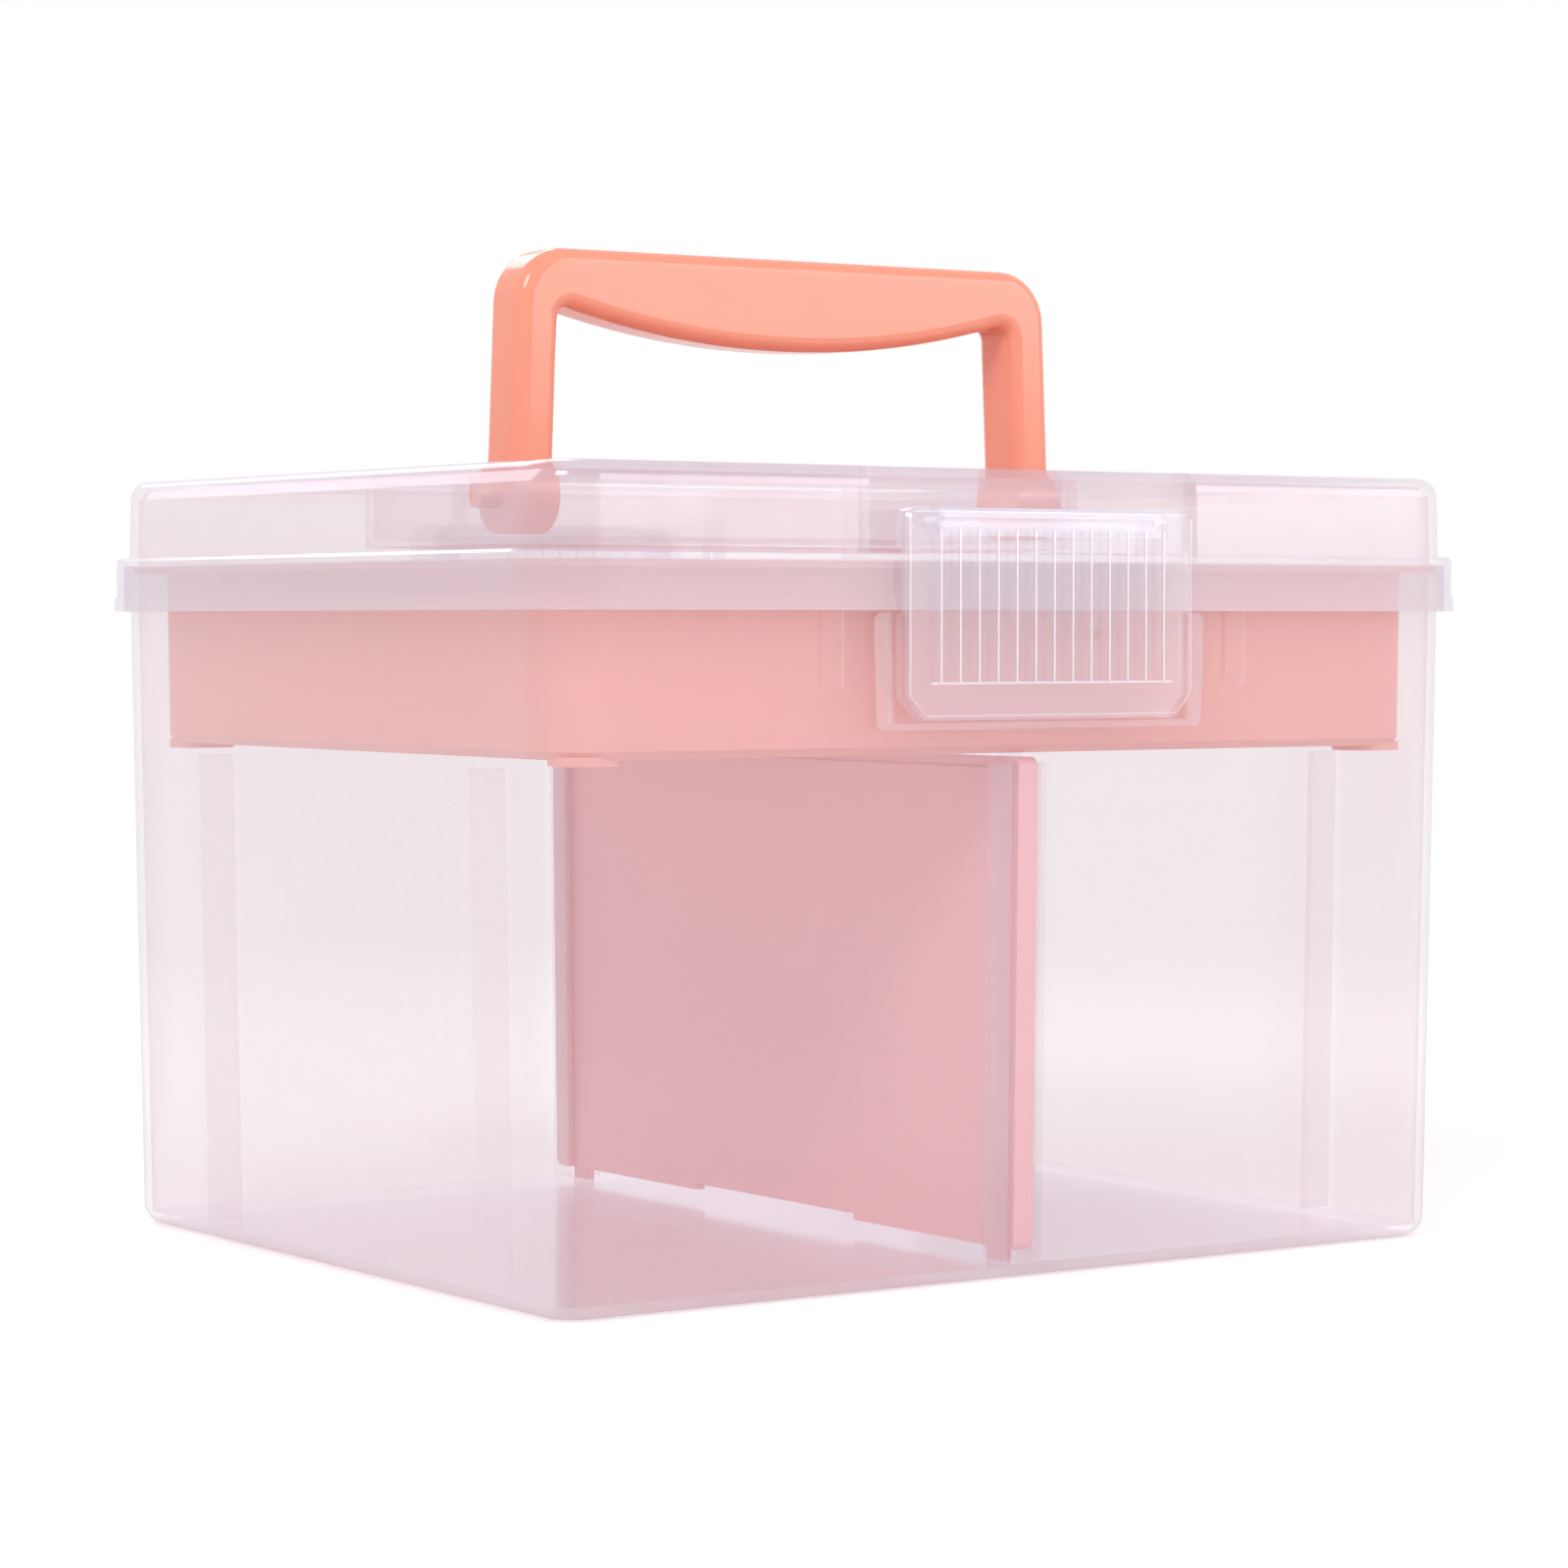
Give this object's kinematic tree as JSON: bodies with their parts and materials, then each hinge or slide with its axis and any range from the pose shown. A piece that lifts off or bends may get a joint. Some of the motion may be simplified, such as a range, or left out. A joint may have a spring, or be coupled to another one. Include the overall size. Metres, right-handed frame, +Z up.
{
  "type": "compartment storage box",
  "caption": "Lidded translucent box with lift-out tray, loose divider, latches that swing up and a folding handle, for craft supplies and small parts.",
  "frame": {"origin": "middle of the tub's underside, on the surface that it stands on", "axes": "+Z up, +X to the right along the front, -Y towards the viewer of the front"},
  "size_m": [0.261, 0.2196, 0.2347],
  "materials": {
    "clear_tub": "glossy translucent polypropylene, nearly clear",
    "clear_lid": "glossy translucent polypropylene, nearly clear",
    "latch_plastic": "glossy milky polypropylene",
    "coral_handle": "satin opaque coral plastic",
    "coral_tray": "satin coral plastic, slightly translucent",
    "coral_divider": "satin coral plastic, slightly translucent"
  },
  "bodies": {
    "tub": {"tub": "clear_tub"},
    "lid": {"lid": "clear_lid"},
    "front_latch": {"front_latch": "latch_plastic"},
    "rear_latch": {"rear_latch": "latch_plastic"},
    "handle": {"handle": "coral_handle"},
    "tray": {"tray": "coral_tray"},
    "divider": {"divider": "coral_divider"}
  },
  "joints": [
    {"name": "lid_lift", "type": "slide", "parent": "tub", "child": "lid", "axis": [0, 0, 1], "range_m": [0, 0.3]},
    {"name": "tray_lift", "type": "slide", "parent": "tub", "child": "tray", "axis": [0, 0, 1], "range_m": [0, 0.24]},
    {"name": "divider_lift", "type": "slide", "parent": "tub", "child": "divider", "axis": [0, 0, 1], "range_m": [0, 0.165]},
    {"name": "handle_fold", "type": "hinge", "parent": "lid", "child": "handle", "pos_m": [0, 0, 0.177], "axis": [-1, 0, 0], "range_deg": [0, 90]},
    {"name": "front_latch_swing", "type": "hinge", "parent": "lid", "child": "front_latch", "pos_m": [0, -0.105, 0.1698], "axis": [-1, 0, 0], "range_deg": [0, 100]},
    {"name": "rear_latch_swing", "type": "hinge", "parent": "lid", "child": "rear_latch", "pos_m": [0, 0.105, 0.1698], "axis": [1, 0, 0], "range_deg": [0, 100]}
  ],
  "couplings": [
    {"joint": "tray_lift", "follows": "lid_lift", "ratio": 0.8},
    {"joint": "divider_lift", "follows": "lid_lift", "ratio": 0.55}
  ]
}
